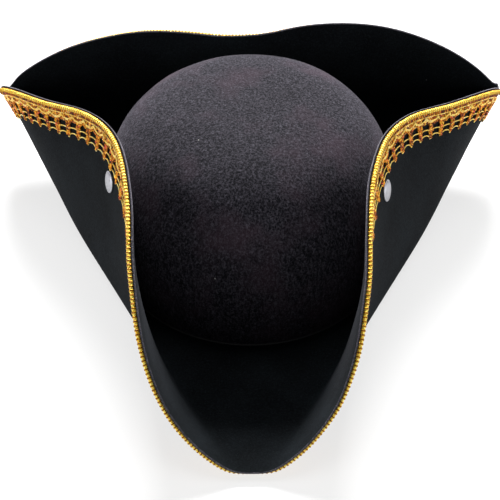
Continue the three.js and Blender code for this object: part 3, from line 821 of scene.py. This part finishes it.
# Each step: how far up, in mm at the drawn size, and the ring's new share of the radius.
studShapes = {
    "cap": {"radius": 7 * mm, "sides": 56, "material": capSteel, "flatter": 0.65,
            "steps": ((0.45, 1.0), (0.25, 0.975), (0.15, 0.93), (0.0, 0.86), (-0.12, 0.84), (0.35, 0.78),
                      (0.35, 0.62), (0.2, 0.42), (0.08, 0.2))},
    "socket": {"radius": 5 * mm, "sides": 40, "material": studSteel,
               "steps": ((0.5, 1.0), (0.2, 0.96), (0.0, 0.82), (0.8, 0.78), (0.15, 0.72), (0.0, 0.58),
                         (-0.9, 0.56), (0.0, 0.2))},
    "stud": {"radius": 4.5 * mm, "sides": 40, "material": studSteel,
             "steps": ((0.35, 1.0), (0.15, 0.95), (0.0, 0.5), (0.45, 0.34), (0.35, 0.38), (0.3, 0.36),
                       (0.15, 0.24))},
    "post": {"radius": 5 * mm, "sides": 40, "material": studSteel,
             "steps": ((0.3, 1.0), (0.2, 0.93), (0.0, 0.62), (0.45, 0.56), (0.2, 0.46), (-0.25, 0.38),
                       (-0.3, 0.3))},
}


def selectTop():
    # selects the highest many-sided face, which is the middle of the piece
    mesh = bpy.context.object.data
    bpy.ops.object.mode_set(mode="OBJECT")
    highest = max(mesh.polygons, key=lambda face: (len(face.vertices) > 4, face.center.z))
    for face in mesh.polygons:
        face.select = face.index == highest.index
    bpy.ops.object.mode_set(mode="EDIT")


def turnedPiece(name, shape, base, direction, heightScale):
    # a disc, drawn up ring by ring from its middle face, then stood on its place
    bpy.ops.object.select_all(action="DESELECT")
    bpy.ops.mesh.primitive_cylinder_add(vertices=shape["sides"], radius=shape["radius"],
                                        depth=studFinish["blank"])
    piece = bpy.context.object
    piece.name = piece.data.name = name
    bpy.ops.object.mode_set(mode="EDIT")
    bpy.ops.mesh.select_mode(type="FACE")
    selectTop()
    size = 1.0
    for up, newSize in shape["steps"]:
        bpy.ops.mesh.extrude_region_move(TRANSFORM_OT_translate={"value": (0, 0, up * mm * heightScale)})
        ratio = newSize / size
        if ratio != 1:
            bpy.ops.transform.resize(value=(ratio, ratio, 1), center_override=(0, 0, 0))
        size = newSize
    bpy.ops.object.mode_set(mode="OBJECT")
    bevel = piece.modifiers.new("softEdges", "BEVEL")
    bevel.width, bevel.segments = studFinish["bevel"], 2
    bevel.limit_method, bevel.angle_limit = "ANGLE", math.radians(studFinish["bevelOver"])
    bpy.ops.object.modifier_apply(modifier="softEdges")
    turn = Vector((0, 0, 1)).rotation_difference(direction).to_matrix().to_4x4()
    piece.data.transform(Matrix.Translation(base) @ turn)
    bpy.ops.object.shade_smooth_by_angle(angle=math.radians(studFinish["smoothUnder"]))
    piece.data.materials.clear()
    piece.data.materials.append(shape["material"])
    return piece


def placeOf(node):
    # the base, direction and height of a turned CAD piece, told from its points: the base is its widest end
    points = np.array([v.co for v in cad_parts[node].data.vertices], float)
    centre = points.mean(axis=0)
    _, _, axes = np.linalg.svd(points - centre, full_matrices=False)
    along = (points - centre) @ axes[2]
    spreadAt = np.linalg.norm(points - centre - np.outer(along, axes[2]), axis=1)
    nearlyWidest = 0.98 * spreadAt.max()
    wide = along[spreadAt > nearlyWidest]
    lowEnd = abs(wide.min() - along.min()) < abs(wide.max() - along.max())
    direction = axes[2] if lowEnd else -axes[2]
    reach = (points - centre) @ direction
    return Vector(centre + direction * reach.min()), Vector(direction), float(np.ptp(reach))


def makePressStud(side):
    for part, shape in studShapes.items():
        node = f"{side}_snap_{part}"
        base, direction, height = placeOf(node)
        drawn = max(np.cumsum([up for up, _ in shape["steps"]])) * mm / shape.get("flatter", 1)
        piece = turnedPiece(f"{side}Snap{part.capitalize()}", shape, base, direction, height / drawn)
        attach(piece, f"{side}_flap" if part in ("cap", "socket") else "hat")
        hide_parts(node)


makeCrown()
print("crown made")
makeSeam()
makeSweatband()
print("sweatband and seam made")

laceNodes = {"right": ("right_lace", "front_lace", "right_corner_lace"),
             "back": ("back_lace", "right_corner_lace", "left_corner_lace"),
             "left": ("left_lace", "front_lace", "left_corner_lace")}
for side in sides:
    sheet, flatSize, cutArea = makeSector(side)
    trim = makeLace(side)
    for made in (sheet, trim):
        bendWithFlap(made, side)
    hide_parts("brim", f"{side}_flap")
    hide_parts(*laceNodes[side])
    makePressStud(side)
    print(side, "flap made")


view = {"elevation": 37.0, "distance": 0.9693, "aimAbove": 43.1 * mm, "lens": 104.53, "sensor": 36,
        "aimDown": 2.114, "sees": (0.01, 50)}
studio = {"floor": 0.24, "floorCloud": 0.01, "floorReach": 20, "floorDrop": 0.6 * mm, "glow": 0.74,
          "world": 0.08, "aimAbove": 50 * mm}
lights = {
    "topBack": {"place": (0.0, 1.45, 1.25), "size": (0.9, 0.7), "power": 165},
    "overhead": {"place": (0.0, 0.2, 1.7), "size": (0.8, 0.8), "power": 9},
    "leftSide": {"place": (-1.6, -0.3, 0.34), "size": (1.2, 0.5), "power": 15},
    "rightSide": {"place": (1.6, -0.25, 0.34), "size": (1.2, 0.5), "power": 14},
}


def makeStudio():
    reach, pale = studio["floorReach"], studio["floor"]
    floorPoints = [(x * reach, y * reach, -studio["floorDrop"])
                   for x, y in ((-1, -1), (1, -1), (1, 1), (-1, 1))]
    shader = Shader("paleFloor")
    cloud = shader.noise(3, 3, 0.5)
    paper = shader.finish({"Roughness": 0.9, "Specular IOR Level": 0.1, "Emission Color": (1, 1, 1, 1),
                           "Emission Strength": studio["glow"]}, None,
                          Base_Color=shader.mix(cloud, grey(pale), grey(pale + studio["floorCloud"])))
    floor = makePiece("floor", floorPoints, [(0, 1, 2, 3)], [paper])
    world = bpy.data.worlds.new("softWorld")
    world.use_nodes = True
    background = world.node_tree.nodes["Background"]
    background.inputs["Color"].default_value = (1, 1, 1, 1)
    background.inputs["Strength"].default_value = studio["world"]
    bpy.context.scene.world = world
    for name, light in lights.items():
        data = bpy.data.lights.new(name, "AREA")
        data.shape, data.size, data.size_y = "RECTANGLE", *light["size"]
        data.energy = light["power"]
        lamp = bpy.data.objects.new(name, data)
        lamp.location = light["place"]
        aim = hatCentre + Vector((0, 0, studio["aimAbove"])) - lamp.location
        lamp.rotation_euler = aim.to_track_quat("-Z", "Y").to_euler()
        bpy.context.scene.collection.objects.link(lamp)


def makeCamera():
    data = bpy.data.cameras.new("camera")
    data.lens, data.sensor_width = view["lens"], view["sensor"]
    data.clip_start, data.clip_end = view["sees"]
    camera = bpy.data.objects.new("camera", data)
    elevation = math.radians(view["elevation"])
    aim = hatCentre + Vector((0, 0, view["aimAbove"]))
    camera.location = aim + view["distance"] * Vector((0, -math.cos(elevation), math.sin(elevation)))
    camera.rotation_euler = (math.radians(90 - view["elevation"] - view["aimDown"]), 0, 0)
    bpy.context.scene.collection.objects.link(camera)
    bpy.context.scene.camera = camera


makeStudio()
makeCamera()
bpy.context.scene.view_settings.view_transform = "Standard"
print("studio made")

bpy.context.view_layer.update()
